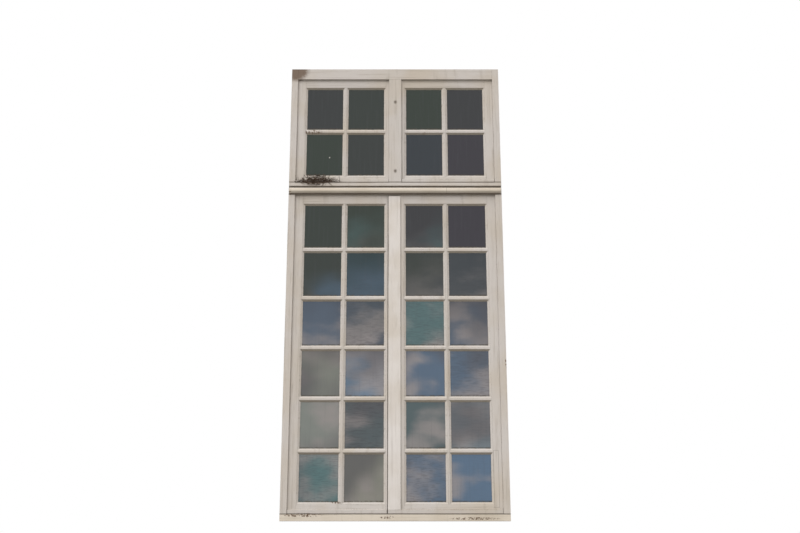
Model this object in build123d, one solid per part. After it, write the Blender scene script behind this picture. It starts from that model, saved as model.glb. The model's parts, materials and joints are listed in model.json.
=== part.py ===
"""Tall casement window with two transom lights, in its own frame.

Two glazed leaves meet in a rounded tongue-and-hollow joint and swing into the room together.
Two smaller leaves above the transom swing in on their own. Sizes are in millimetres: X runs
to the right seen from outside, Y runs into the room, Z is up, and the origin is the middle of
the sill's underside.
"""

from build123d import *
from math import atan2, cos, degrees, pi, radians, sin, sqrt, tan
import os

# Whole window
window_width = 1800.0
window_height = 3832.0
frame_depth = 68.0

# Fixed frame: faces seen from outside, and the stop that the leaves close against
jamb_face = 55.0
sill_height = 53.0
head_face = 96.0
transom_level = 2675.0
transom_height = 109.0
mullion_face = 108.0
stop_depth = 17.5
leaf_overlap = 12.0
leaf_gap = 3.0
face_gap = 0.5
arris = 3.0

# Transom mouldings
nosing_radius = 25.0
nosing_end_gap = 7.0
nosing_level = 34.0
quirk_height = 16.0
quirk_depth = 10.0
quirk_level = 63.0

# Leaves: widths seen beside the glass, glazing bars and glass
hinge_stile_face = 85.0
bottom_rail_face = 91.0
top_rail_face = 90.0
upper_bottom_rail_face = 72.0
upper_top_rail_face = 87.0
upper_meeting_face = 41.0
lower_rows = 6
upper_rows = 2
bar_width = 46.0
bar_nose = 14.0
bar_setback = 2.0
bevel_depth = 2.5
bevel_width = 30.0
ovolo_radius = 12.0
ovolo_fillet = 2.0
ovolo_flat_count = 3
glass_thickness = 4.0
glass_front_level = 12.0
glass_edge_gap = 3.0
putty_land = 1.0

# Meeting stiles of the lower leaves: a rounded tongue closes into a hollow
joint_x = -56.0
strip_width = 102.0
strip_thickness = 12.0
strip_top_gap = 10.0
mouth_stile_face = 42.0
tongue_stile_face = 28.0
shoulder_gap = 6.0
inner_gap = 3.0
mouth_radius = 15.0
tongue_clearance = 2.0

# Weather bands along the foot of each leaf
band_height = 30.0
band_gap = 3.0
band_weathering = 6.0
band_side_gap = 2.0
band_joint_gap = 10.0
drip_width = 5.0
drip_depth = 2.5
upper_band_height = 27.0
upper_band_thickness = 8.0
upper_band_gap = 6.0

# Tenon joints
tenon_thickness = 16.0
tenon_fit = 0.2
leaf_tenon_height = 56.0
hinge_tenon_length = 60.0
mouth_tenon_length = 60.0
tongue_tenon_length = 26.0
upper_tenon_length = 38.0
frame_tenon_length = 25.0
frame_tenon_width = 26.0

# Lift-off hinges
hinge_height = 104.0
hinge_plate_width = 38.0
hinge_plate_thickness = 2.5
knuckle_radius = 7.0
knuckle_wall_gap = 0.5
hinge_pin_radius = 4.0
hinge_running_gap = 0.05
hinge_ring_height = 2.0
hinge_bearing_gap = 0.05
hinge_cap = 5.0
hinge_pin_end_gap = 1.0
lower_hinge_count = 3
upper_hinge_count = 2
hinge_end_distance = 190.0

# Sliding bolts on the leaf with the hollow: two rods, a pinion and a knob
bolt_offset = 72.0
bolt_level = 1100.0
rod_radius = 6.0
rod_stand_off = 10.0
rod_running_gap = 0.05
rod_top_reach = 3.0
rod_bottom_reach = 1.0
pinion_module = 1.6
pinion_teeth = 10
pinion_width = 8.0
rack_addendum = 0.9
rack_back = 4.0
rack_overrun = 12.0
rack_foot = 6.0
tooth_backlash = 0.2
tooth_tip_gap = 0.3
pressure_angle = 20.0
flank_point_count = 4
tooth_overlap = 1.0
knob_turn = 180.0
case_wall = 4.0
case_side_room = 1.6
case_end_room = 3.0
case_corner = 6.0
case_rod_gap = 0.3
spindle_square = 7.0
spindle_fit = 0.05
spindle_end = 2.0
journal_radius = 5.2
journal_gap = 1.0
knob_length = 46.0
knob_width = 27.0
knob_depth = 20.0
knob_chamfer = 5.0
knob_gap = 0.3
knob_neck_radius = 7.0
knob_neck_length = 14.0
knob_collar_radius = 11.0
knob_collar_thickness = 4.0
guide_height = 16.0
guide_wall = 3.0
guide_foot_width = 34.0
guide_foot_thickness = 3.0
upper_guides = 2
lower_guides = 2
guide_end_distance = 60.0
guide_case_distance = 350.0
keeper_gap = 8.0
keeper_clearance = 0.6

# Turn buttons on the mullion
lower_button_rise = 112.0
upper_button_drop = 206.0
button_length = 132.0
button_width = 26.0
button_thickness = 8.0
button_bolt_radius = 5.0
button_hole_gap = 0.05
bolt_head_radius = 9.0
bolt_head_height = 5.0
bolt_head_chamfer = 2.5
bolt_hole_gap = 0.3
bolt_end = 2.0
button_seat_gap = 0.3
nut_across_flats = 16.0
nut_thickness = 7.0
nut_gap = 0.3
nut_thread_gap = 0.02

# Tools run past the wood that they cut
cut_over = 1.0

# Places worked out from the sizes above
half_width = window_width / 2
front = -frame_depth / 2
back = frame_depth / 2
stop_back = front + stop_depth
leaf_front = stop_back + face_gap
leaf_back = back
jamb_edge = half_width - jamb_face
leaf_edge = jamb_edge + leaf_overlap
jamb_rebate = leaf_edge + leaf_gap
mullion_half = mullion_face / 2
leaf_inner = mullion_half - leaf_overlap
mullion_rebate = leaf_inner - leaf_gap
transom_top = transom_level + transom_height
head_level = window_height - head_face
transom_floor = transom_top - leaf_overlap - leaf_gap
head_ceiling = head_level + leaf_overlap + leaf_gap
button_levels = (transom_top + lower_button_rise, head_level - upper_button_drop)
bar_front = leaf_front + bevel_depth
glass_back = leaf_front + glass_front_level + glass_thickness
glass_front = glass_back - glass_thickness
bar_back = leaf_back - bar_setback
rebate = (bar_width - bar_nose) / 2
tenon_y = (glass_back + leaf_back - ovolo_radius - ovolo_fillet) / 2
pin_x = (leaf_edge + jamb_rebate) / 2
pin_y = back + knuckle_wall_gap + knuckle_radius
mouth_y = (leaf_front + leaf_back) / 2
tongue_radius = mouth_radius - tongue_clearance


def block(x0, x1, y0, y1, z0, z1):
    """A box between two corners."""
    return Pos((x0 + x1) / 2, (y0 + y1) / 2, (z0 + z1) / 2) * Box(x1 - x0, y1 - y0, z1 - z0)


def grown(box, room):
    """The corners of a box, moved outwards on every side."""
    x0, x1, y0, y1, z0, z1 = box
    return x0 - room, x1 + room, y0 - room, y1 + room, z0 - room, z1 + room


def polygon(points):
    """A flat face with straight edges."""
    return make_face(Polyline(points, close=True))


def upright(section, z0, z1, sight=0.0, side=1):
    """Stand a (u, y) section up along Z, with u growing from the sight line."""
    plane = Plane(origin=(sight, 0, z0), x_dir=(side, 0, 0), z_dir=(0, 0, side))
    return extrude(plane * section, amount=z1 - z0, dir=(0, 0, 1))


def level(section, x0, x1, sight=0.0, side=1):
    """Lay a (u, y) section along X, with u growing from the sight line."""
    plane = Plane(origin=(x0, 0, sight), x_dir=(0, 0, side), z_dir=(-side, 0, 0))
    return extrude(plane * section, amount=x1 - x0, dir=(1, 0, 0))


def rod(radius, x, y, z0, z1):
    """A round bar standing along Z."""
    return Pos(x, y, (z0 + z1) / 2) * Cylinder(radius, z1 - z0)


def spindle(radius, x, z, y0, y1):
    """A round bar lying along Y."""
    return Pos(x, (y0 + y1) / 2, z) * Rot(90, 0, 0) * Cylinder(radius, y1 - y0)


def funnel(x0, x1, z0, z1, y_narrow, y_wide, spread):
    """A four-sided opening that spreads evenly towards the outside."""
    centre_x = (x0 + x1) / 2
    centre_z = (z0 + z1) / 2
    width = x1 - x0
    height = z1 - z0
    ends = []
    for y, grow in ((y_narrow, 0.0), (y_wide, spread)):
        plane = Plane(origin=(centre_x, y, centre_z), x_dir=(1, 0, 0), z_dir=(0, -1, 0))
        ends.append(plane * Rectangle(width + 2 * grow, height + 2 * grow))
    return loft(ends, ruled=True)


def spaced(first, last, count):
    """Evenly spaced places from first to last."""
    return [first + (last - first) * i / (count - 1) for i in range(count)]


def ovolo(u, y, side):
    """Corners of a quarter-round about (u, y), from its side face to its inner face."""
    angles = spaced(0.0, pi / 2, ovolo_flat_count + 1)
    return [(u - side * ovolo_radius * cos(a), y + ovolo_radius * sin(a)) for a in angles]


def tenoned(rail, stile, box):
    """Give the rail a tongue and the stile its mortise."""
    return rail + block(*box), stile - block(*grown(box, tenon_fit))


# Fixed frame

def rebated_section(face, body):
    """Frame timber in plan: a wide stop in front of a narrower body, from the outer edge in."""
    return polygon([(0, front), (face, front), (face, stop_back), (body, stop_back), (body, back), (0, back)])


def make_sill():
    """Sill timber with an eased top edge on its stop."""
    top = sill_height
    floor = top - leaf_overlap - leaf_gap
    section = polygon([
        (0, front), (top - arris, front), (top, front + arris), (top, stop_back),
        (floor, stop_back), (floor, back), (0, back),
    ])
    return level(section, -half_width, half_width)


def make_transom():
    """Transom with stops above and below, and a quirk cut along its face."""
    floor = transom_floor - transom_level
    ceiling = leaf_overlap + leaf_gap
    face = polygon([(0, front), (transom_height, front), (transom_height, stop_back), (0, stop_back)])
    body = polygon([(ceiling, stop_back), (floor, stop_back), (floor, back), (ceiling, back)])
    quirk_end = quirk_level + quirk_height
    quirk = polygon([
        (quirk_level, front), (quirk_end, front), (quirk_end, front + quirk_depth),
        (quirk_level + quirk_depth / 2, front + quirk_depth),
    ])
    face_timber = level(face - quirk, -half_width, half_width, sight=transom_level)
    return face_timber + level(body, -jamb_rebate, jamb_rebate, sight=transom_level)


def make_nosing():
    """Half-round bead planted along the transom's face."""
    z = transom_level + nosing_level
    length = window_width - 2 * nosing_end_gap
    bead = Pos(0, front, z) * Rot(0, 90, 0) * Cylinder(nosing_radius, length)
    outer = block(-half_width, half_width, front - 2 * nosing_radius, front, z - 2 * nosing_radius,
                  z + 2 * nosing_radius)
    return bead & outer


def make_head():
    """Head timber between the jambs."""
    section = rebated_section(head_face, window_height - head_ceiling)
    return level(section, -half_width, half_width, sight=window_height, side=-1)


def make_frame():
    """The fixed timbers, fitted to each other with coped shoulders and tenons."""
    floor = sill_height - leaf_overlap - leaf_gap
    tenon_front = tenon_y - tenon_thickness / 2
    tenon_back = tenon_y + tenon_thickness / 2
    timbers = {"sill": make_sill(), "transom": make_transom(), "head": make_head()}
    for name, side in (("left_jamb", -1), ("right_jamb", 1)):
        section = rebated_section(jamb_face, half_width - jamb_rebate)
        jamb = upright(section, floor, window_height, sight=side * half_width, side=-side)
        face_x = sorted((side * jamb_edge, side * half_width))
        timbers[name] = jamb - timbers["sill"] - block(*face_x, front, stop_back, transom_level, transom_top)
        timbers["head"] -= timbers[name]
        middle = side * (half_width + jamb_rebate) / 2
        foot = (middle - frame_tenon_width / 2, middle + frame_tenon_width / 2, tenon_front, tenon_back,
                floor - frame_tenon_length, floor)
        timbers[name], timbers["sill"] = tenoned(timbers[name], timbers["sill"], foot)
        reach = sorted((side * jamb_rebate, side * (jamb_rebate + frame_tenon_length)))
        for rail, z in (("transom", transom_level + transom_height / 2),
                        ("head", (head_ceiling + window_height) / 2)):
            tongue = (*reach, tenon_front, tenon_back, z - frame_tenon_width, z + frame_tenon_width)
            timbers[rail], timbers[name] = tenoned(timbers[rail], timbers[name], tongue)
    mullion = block(-mullion_half, mullion_half, front, stop_back, transom_top, head_level)
    mullion += block(-mullion_rebate, mullion_rebate, stop_back, back, transom_floor, head_ceiling)
    for z in button_levels:
        mullion -= spindle(button_bolt_radius + bolt_hole_gap, 0, z, front - cut_over, back + cut_over)
    for rail, z0, z1 in (("transom", transom_floor - frame_tenon_length, transom_floor),
                         ("head", head_ceiling, head_ceiling + frame_tenon_length)):
        tongue = (-frame_tenon_width, frame_tenon_width, tenon_front, tenon_back, z0, z1)
        mullion, timbers[rail] = tenoned(mullion, timbers[rail], tongue)
    timbers["mullion"] = mullion
    timbers["transom_nosing"] = make_nosing()
    return timbers


# Glazed leaves

def member_section(width):
    """Stile or rail: rebated for glass outside, with an ovolo moulding inside."""
    spring = leaf_back - ovolo_fillet - ovolo_radius
    return polygon([
        (rebate, leaf_front), (width, leaf_front), (width, leaf_back), (ovolo_radius, leaf_back),
        *reversed(ovolo(ovolo_radius, spring, 1)), (0, glass_back), (rebate, glass_back),
    ])


def bar_section():
    """Glazing bar: a narrow nose between the panes and an ovolo on both inner edges."""
    half = bar_width / 2
    nose = bar_nose / 2
    spring = bar_back - ovolo_fillet - ovolo_radius
    flat = half - ovolo_radius
    return polygon([
        (-nose, bar_front), (nose, bar_front), (nose, glass_back), (half, glass_back),
        *ovolo(flat, spring, -1), (flat, bar_back), (-flat, bar_back), *reversed(ovolo(-flat, spring, 1)),
        (-half, glass_back), (-nose, glass_back),
    ])


def tongue_section(width):
    """Meeting stile with the rounded tongue, u growing from its glass towards the joint."""
    centre = width - tongue_clearance
    shoulder = width - shoulder_gap
    section = member_section(shoulder)
    section += polygon([
        (rebate, mouth_y - tongue_radius), (width - inner_gap, mouth_y - tongue_radius),
        (width - inner_gap, leaf_back), (rebate, leaf_back),
    ])
    section += polygon([
        (rebate, mouth_y - tongue_radius), (centre, mouth_y - tongue_radius),
        (centre, mouth_y + tongue_radius), (rebate, mouth_y + tongue_radius),
    ])
    return section + Pos(centre, mouth_y) * Circle(tongue_radius)


def mouth_section(width):
    """Meeting stile with the hollow, u growing from its glass towards the joint."""
    return member_section(width) - Pos(width, mouth_y) * Circle(mouth_radius)


def band_section(thickness, height, base):
    """Weather band in (z, y): flat face, sloped top and a drip groove below."""
    face = leaf_front - thickness
    middle = leaf_front - thickness / 2
    return polygon([
        (base, leaf_front), (base, middle + drip_width / 2), (base + drip_depth, middle),
        (base, middle - drip_width / 2), (base, face), (base + height, face),
        (base + height + band_weathering, leaf_front),
    ])


def make_leaf(prefix, leaf):
    """All the wooden pieces, panes and putty of one leaf."""
    side = leaf["side"]
    hinge_sight = jamb_edge - hinge_stile_face
    hinge_sight_x = side * hinge_sight
    meeting_sight_x = leaf["meeting_sight"]
    x0, x1 = sorted((hinge_sight_x, meeting_sight_x))
    z0, z1 = leaf["sight"]
    bottom, top = leaf["ends"]

    timbers = {
        "hinge_stile": upright(member_section(leaf_edge - hinge_sight), bottom, top, hinge_sight_x, side),
        "meeting_stile": upright(leaf["meeting_section"], bottom, top, meeting_sight_x, -side),
    }
    stiles = timbers["hinge_stile"] + timbers["meeting_stile"]
    reach = rebate + cut_over
    timbers["bottom_rail"] = level(member_section(z0 - bottom), x0 - reach, x1 + reach, z0, -1) - stiles
    timbers["top_rail"] = level(member_section(top - z1), x0 - reach, x1 + reach, z1, 1) - stiles
    rails = timbers["bottom_rail"] + timbers["top_rail"]
    band_x = sorted((side * (jamb_edge - band_side_gap), leaf["band_end"]))
    timbers["bottom_rail"] += level(band_section(*leaf["band"]), *band_x)
    tips = {
        "hinge_stile": (hinge_sight_x, hinge_sight_x + side * hinge_tenon_length),
        "meeting_stile": (meeting_sight_x, meeting_sight_x - side * leaf["tenon_length"]),
    }
    for rail, z in (("bottom_rail", (bottom + z0) / 2), ("top_rail", (top + z1) / 2)):
        for stile, tip in tips.items():
            tongue = (*sorted(tip), tenon_y - tenon_thickness / 2, tenon_y + tenon_thickness / 2,
                      z - leaf_tenon_height / 2, z + leaf_tenon_height / 2)
            timbers[rail], timbers[stile] = tenoned(timbers[rail], timbers[stile], tongue)
    opening = funnel(x0 - rebate, x1 + rebate, z0 - rebate, z1 + rebate, bar_front, leaf_front, bevel_width)

    middle_x = (x0 + x1) / 2
    vertical_bar = upright(bar_section(), z0 - reach, z1 + reach, middle_x, 1) - rails
    rows = leaf["rows"]
    pane_height = (z1 - z0 - (rows - 1) * bar_width) / rows
    cross_bars = []
    for row in range(1, rows):
        z = z0 + row * (pane_height + bar_width) - bar_width / 2
        for start, end in ((x0 - reach, middle_x), (middle_x, x1 + reach)):
            cross_bars.append(level(bar_section(), start, end, z, 1) - stiles - vertical_bar)

    panes = []
    putty = []
    pane_width = (x1 - x0 - bar_width) / 2
    cover = rebate - glass_edge_gap
    for row in range(rows):
        pane_z = z0 + row * (pane_height + bar_width)
        for pane_x in (x0, x1 - pane_width):
            far_x = pane_x + pane_width
            far_z = pane_z + pane_height
            panes.append(block(pane_x - cover, far_x + cover, glass_front, glass_back,
                               pane_z - cover, far_z + cover))
            bed = block(pane_x - rebate, far_x + rebate, bar_front, glass_front,
                        pane_z - rebate, far_z + rebate)
            putty.append(bed - funnel(pane_x, far_x, pane_z, far_z, glass_front, bar_front,
                                      rebate - putty_land))

    nodes = {f"{prefix}_{piece}": timber - opening for piece, timber in timbers.items()}
    nodes[prefix + "_vertical_bar"] = vertical_bar
    nodes[prefix + "_cross_bars"] = Compound(children=cross_bars)
    nodes[prefix + "_panes"] = Compound(children=panes)
    nodes[prefix + "_putty"] = Compound(children=putty)
    return nodes


def leaf_table():
    """Sizes of the four leaves."""
    lower_ends = (sill_height - leaf_overlap, transom_level + leaf_overlap)
    upper_ends = (transom_top - leaf_overlap, head_level + leaf_overlap)
    lower_sight = (sill_height + bottom_rail_face, transom_level - top_rail_face)
    upper_sight = (transom_top + upper_bottom_rail_face, head_level - upper_top_rail_face)
    lower_band = (strip_thickness, band_height, sill_height + band_gap)
    upper_band = (upper_band_thickness, upper_band_height, transom_top + upper_band_gap)
    mouth_width = strip_width + mouth_stile_face
    tongue_width = tongue_stile_face + shoulder_gap
    upper_width = upper_meeting_face + leaf_overlap
    leaves = {
        "right_leaf": {
            "side": 1, "ends": lower_ends, "sight": lower_sight, "rows": lower_rows, "band": lower_band,
            "meeting_sight": joint_x + mouth_width, "tenon_length": mouth_tenon_length,
            "meeting_section": mouth_section(mouth_width), "band_end": joint_x,
        },
        "left_leaf": {
            "side": -1, "ends": lower_ends, "sight": lower_sight, "rows": lower_rows, "band": lower_band,
            "meeting_sight": joint_x - tongue_width, "tenon_length": tongue_tenon_length,
            "meeting_section": tongue_section(tongue_width), "band_end": joint_x - band_joint_gap,
        },
    }
    for name, side in (("upper_right_leaf", 1), ("upper_left_leaf", -1)):
        leaves[name] = {
            "side": side, "ends": upper_ends, "sight": upper_sight, "rows": upper_rows, "band": upper_band,
            "meeting_sight": side * (mullion_half + upper_meeting_face), "tenon_length": upper_tenon_length,
            "meeting_section": member_section(upper_width),
            "band_end": side * (mullion_half + band_side_gap),
        }
    return leaves


def make_cover_strip():
    """Flat strip planted over the joint between the two tall leaves."""
    foot = sill_height + band_gap + band_height
    section = polygon([
        (joint_x, leaf_front), (joint_x, leaf_front - strip_thickness + arris),
        (joint_x + arris, leaf_front - strip_thickness),
        (joint_x + strip_width - arris, leaf_front - strip_thickness),
        (joint_x + strip_width, leaf_front - strip_thickness + arris), (joint_x + strip_width, leaf_front),
    ])
    strip = upright(section, foot, transom_level - strip_top_gap)
    return strip - level(band_section(strip_thickness, band_height, sill_height + band_gap),
                         joint_x - cut_over, joint_x + strip_width + cut_over)


# Hinges

def hinge_levels(ends, count):
    """Heights of the hinges up one leaf."""
    return spaced(ends[0] + hinge_end_distance, ends[1] - hinge_end_distance, count)


def hinge_half(x, outward, plate_z, knuckle_z):
    """One plate with its knuckle; outward is the side of the pin on which the plate lies."""
    plate_x = sorted((x, x + outward * (hinge_plate_width + leaf_gap / 2)))
    plate = block(*plate_x, back, back + hinge_plate_thickness, *plate_z)
    return plate + rod(knuckle_radius, x, pin_y, *knuckle_z)


def make_hinges(leaves):
    """Lower halves with their pins for the whole window, and one node of upper halves per leaf."""
    frame_halves = []
    nodes = {}
    for name, leaf in leaves.items():
        side = leaf["side"]
        x = side * pin_x
        count = lower_hinge_count if leaf["rows"] == lower_rows else upper_hinge_count
        halves = []
        for z in hinge_levels(leaf["ends"], count):
            low = z - hinge_height / 2
            high = z + hinge_height / 2
            split = z + hinge_ring_height / 2
            lower = hinge_half(x, side, (low, split - hinge_ring_height), (low, split - hinge_bearing_gap))
            pin = rod(hinge_pin_radius, x, pin_y, z, high - hinge_cap - hinge_pin_end_gap)
            frame_halves.append(lower + pin)
            bore = rod(hinge_pin_radius + hinge_running_gap, x, pin_y, split - cut_over, high - hinge_cap)
            halves.append(hinge_half(x, -side, (split, high), (split, high)) - bore)
        nodes[name + "_hinge_halves"] = Compound(children=halves)
    nodes["frame_hinge_halves"] = Compound(children=frame_halves)
    return nodes


# Sliding bolts

bolt_x = joint_x + bolt_offset
rod_y = leaf_back + rod_stand_off
pitch_radius = pinion_module * pinion_teeth / 2
bolt_travel = radians(knob_turn) * pitch_radius
outer_radius = pitch_radius + pinion_module
root_radius = pitch_radius - rack_addendum - tooth_tip_gap
rack_dedendum = pinion_module + tooth_tip_gap
tooth_width = pi * pinion_module / 2 - tooth_backlash


def involute_tooth():
    """One pinion tooth pointing along +X, its flanks an involute of the base circle."""
    base_radius = pitch_radius * cos(radians(pressure_angle))
    involute = tan(radians(pressure_angle)) - radians(pressure_angle)
    half_angle = tooth_width / 2 / pitch_radius + involute
    flank = []
    for radius in spaced(base_radius, outer_radius, flank_point_count):
        roll = sqrt((radius / base_radius) ** 2 - 1)
        angle = half_angle - (roll - atan2(roll, 1))
        flank.append((radius * cos(angle), radius * sin(angle)))
    inside = root_radius - tooth_overlap
    root = (inside * cos(half_angle), inside * sin(half_angle))
    upper = [root] + flank
    lower = [(x, -y) for x, y in reversed(upper)]
    return polygon(upper + lower)


def make_pinion():
    """Ten-tooth pinion with a square hole, its axis along Y."""
    wheel = Circle(root_radius)
    for tooth in range(pinion_teeth):
        wheel += Rot(0, 0, degrees(2 * pi * tooth / pinion_teeth)) * involute_tooth()
    wheel -= Rectangle(spindle_square + 2 * spindle_fit, spindle_square + 2 * spindle_fit)
    plane = Plane(origin=(bolt_x, rod_y + pinion_width / 2, bolt_level), x_dir=(1, 0, 0), z_dir=(0, -1, 0))
    return extrude(plane * wheel, amount=pinion_width)


def rack_section():
    """Rack in (x, z) about the pinion's centre, for the rod that rises, with its foot."""
    pitch = pi * pinion_module
    slope = tan(radians(pressure_angle))
    pitch_line = -pitch_radius
    root_line = pitch_line - rack_dedendum
    tip_line = pitch_line + rack_addendum
    inside = root_line - tooth_overlap
    low = -(bolt_travel + rack_overrun)
    high = rack_overrun
    section = polygon([
        (root_line - rack_back, low), (root_line, low), (root_line, high), (rod_radius, high),
        (rod_radius, high + rack_foot), (root_line - rack_back, high + rack_foot),
    ])
    half_root = tooth_width / 2 + rack_dedendum * slope
    half_tip = tooth_width / 2 - rack_addendum * slope
    first = int((low + half_root) / pitch - 0.5)
    last = int((high - half_root) / pitch - 0.5)
    for tooth in range(first, last + 1):
        z = (tooth + 0.5) * pitch
        section += polygon([
            (inside, z - half_root), (root_line, z - half_root), (tip_line, z - half_tip),
            (tip_line, z + half_tip), (root_line, z + half_root), (inside, z + half_root),
        ])
    return section


def make_rods():
    """The rising and the falling rod, each with its rack inside the case."""
    plane = Plane(origin=(bolt_x, rod_y + pinion_width / 2, bolt_level), x_dir=(1, 0, 0), z_dir=(0, -1, 0))
    rack = extrude(plane * rack_section(), amount=pinion_width)
    centre = Pos(bolt_x, rod_y, bolt_level)
    falling_rack = centre * Rot(0, 180, 0) * centre.inverse() * rack
    joint = rack_overrun + rack_foot
    top_end = transom_level + leaf_overlap + rod_top_reach
    bottom_end = sill_height - leaf_overlap - rod_bottom_reach
    rising = rack + rod(rod_radius, bolt_x, rod_y, bolt_level + joint - rack_foot / 2, top_end)
    falling = falling_rack + rod(rod_radius, bolt_x, rod_y, bottom_end, bolt_level - joint + rack_foot / 2)
    return rising, falling, top_end, bottom_end


def make_case():
    """Cast case over the pinion and racks, open towards the stile."""
    half_x = pitch_radius + rack_dedendum + rack_back + case_side_room
    half_z = rack_overrun + rack_foot + bolt_travel + case_end_room
    cavity_y = rod_y + rod_radius + case_side_room
    case_front = cavity_y + case_wall
    end_z = half_z + case_wall + cut_over
    outline = Rectangle(2 * (half_x + case_wall), 2 * (half_z + case_wall))
    outline = chamfer(outline.vertices(), case_corner)
    plane = Plane(origin=(bolt_x, case_front, bolt_level), x_dir=(1, 0, 0), z_dir=(0, -1, 0))
    case = extrude(plane * outline, amount=case_front - leaf_back)
    case -= block(bolt_x - half_x, bolt_x + half_x, leaf_back - cut_over, cavity_y,
                  bolt_level - half_z, bolt_level + half_z)
    case -= rod(rod_radius + case_rod_gap, bolt_x, rod_y, bolt_level - end_z, bolt_level + end_z)
    case -= spindle(journal_radius + spindle_fit, bolt_x, bolt_level, cavity_y - cut_over,
                    case_front + cut_over)
    return case, case_front


def make_knob(case_front):
    """Oval knob with its collar, round journal and square tail."""
    collar_start = case_front + knob_gap
    collar_end = collar_start + knob_collar_thickness
    neck_end = collar_end + knob_neck_length
    pinion_front = rod_y + pinion_width / 2 + journal_gap
    pinion_back = rod_y - pinion_width / 2 - spindle_end
    square = spindle_square / 2
    plane = Plane(origin=(bolt_x, neck_end + knob_depth, bolt_level), x_dir=(0, 0, 1), z_dir=(0, -1, 0))
    grip = extrude(plane * SlotOverall(knob_length, knob_width), amount=knob_depth)
    grip = chamfer(grip.faces().sort_by(Axis.Y)[-1].edges(), knob_chamfer)
    collar = spindle(knob_collar_radius, bolt_x, bolt_level, collar_start, collar_end)
    neck = spindle(knob_neck_radius, bolt_x, bolt_level, collar_end, neck_end)
    journal = spindle(journal_radius, bolt_x, bolt_level, pinion_front, collar_start)
    tail = block(bolt_x - square, bolt_x + square, pinion_back, pinion_front,
                 bolt_level - square, bolt_level + square)
    return collar + neck + grip + journal + tail


def rod_bridge(z, bore_radius):
    """Small iron bridge screwed to a flat face, with a round way for a rod."""
    z0 = z - guide_height / 2
    z1 = z + guide_height / 2
    half = rod_radius + guide_wall
    bridge = block(bolt_x - half, bolt_x + half, leaf_back, rod_y + half, z0, z1)
    foot = block(bolt_x - guide_foot_width / 2, bolt_x + guide_foot_width / 2, leaf_back,
                 leaf_back + guide_foot_thickness, z0, z1)
    return bridge + foot - rod(bore_radius, bolt_x, rod_y, z0 - cut_over, z1 + cut_over)


def make_bolts():
    """Case, knob, pinion, rods, guides and keepers."""
    rising, falling, top_end, bottom_end = make_rods()
    case, case_front = make_case()
    near = case.bounding_box().size.Z / 2 + guide_case_distance
    above = spaced(bolt_level + near, transom_level + leaf_overlap - guide_end_distance, upper_guides)
    below = spaced(sill_height + guide_end_distance, bolt_level - near, lower_guides)
    guides = [rod_bridge(z, rod_radius + rod_running_gap) for z in above + below]
    keeper_levels = (top_end + keeper_gap + guide_height / 2, bottom_end - keeper_gap - guide_height / 2)
    keepers = [rod_bridge(z, rod_radius + keeper_clearance) for z in keeper_levels]
    return {
        "bolt_case": case,
        "bolt_knob": make_knob(case_front),
        "bolt_pinion": make_pinion(),
        "top_bolt_rod": rising,
        "bottom_bolt_rod": falling,
        "bolt_rod_guides": Compound(children=guides),
        "bolt_keepers": Compound(children=keepers),
    }


# Turn buttons

def make_button(z):
    """Bar with rounded ends, standing upright when the leaves are free."""
    near = back + button_seat_gap
    far = near + button_thickness
    plane = Plane(origin=(0, far, z), x_dir=(0, 0, 1), z_dir=(0, -1, 0))
    bar = extrude(plane * SlotOverall(button_length, button_width), amount=button_thickness)
    return bar - spindle(button_bolt_radius + button_hole_gap, 0, z, near - cut_over, far + cut_over)


def make_button_bolt(z):
    """Round-headed bolt through the mullion."""
    end = back + button_seat_gap + button_thickness + nut_gap + nut_thickness + bolt_end
    head = spindle(bolt_head_radius, 0, z, front - bolt_head_height, front)
    head = chamfer(head.edges().sort_by(Axis.Y)[0], bolt_head_chamfer)
    return head + spindle(button_bolt_radius, 0, z, front, end)


def make_button_nut(z):
    """Nut over the button."""
    near = back + button_seat_gap + button_thickness + nut_gap
    far = near + nut_thickness
    plane = Plane(origin=(0, far, z), x_dir=(1, 0, 0), z_dir=(0, -1, 0))
    hexagon = RegularPolygon(nut_across_flats / 2, 6, major_radius=False)
    nut = extrude(plane * hexagon, amount=nut_thickness)
    return nut - spindle(button_bolt_radius + nut_thread_gap, 0, z, near - cut_over, far + cut_over)


def make_buttons():
    """Both buttons with their bolts and nuts."""
    nodes = {}
    for name, z in zip(("lower_turn_button", "upper_turn_button"), button_levels):
        nodes[name] = make_button(z)
    nodes["button_bolts"] = Compound(children=[make_button_bolt(z) for z in button_levels])
    nodes["button_nuts"] = Compound(children=[make_button_nut(z) for z in button_levels])
    return nodes


def make_window():
    """Every piece of the window by name."""
    leaves = leaf_table()
    nodes = make_frame()
    for name, leaf in leaves.items():
        nodes.update(make_leaf(name, leaf))
    nodes["meeting_cover_strip"] = make_cover_strip()
    nodes.update(make_hinges(leaves))
    nodes.update(make_bolts())
    nodes.update(make_buttons())
    return nodes


os.makedirs("parts", exist_ok=True)
for node_name, shape in make_window().items():
    export_step(shape, f"parts/{node_name}.step")
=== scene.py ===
# %% [markdown]
# # A tall casement window, dressed
# The packed CAD model holds every timber, pane, hinge and bolt of the window in its place. This
# file rounds their edges, gives them old oil paint, putty, glass and iron, and adds what is too
# small for the solids, such as screws. It is read from top to bottom, one cell at a time.

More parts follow.
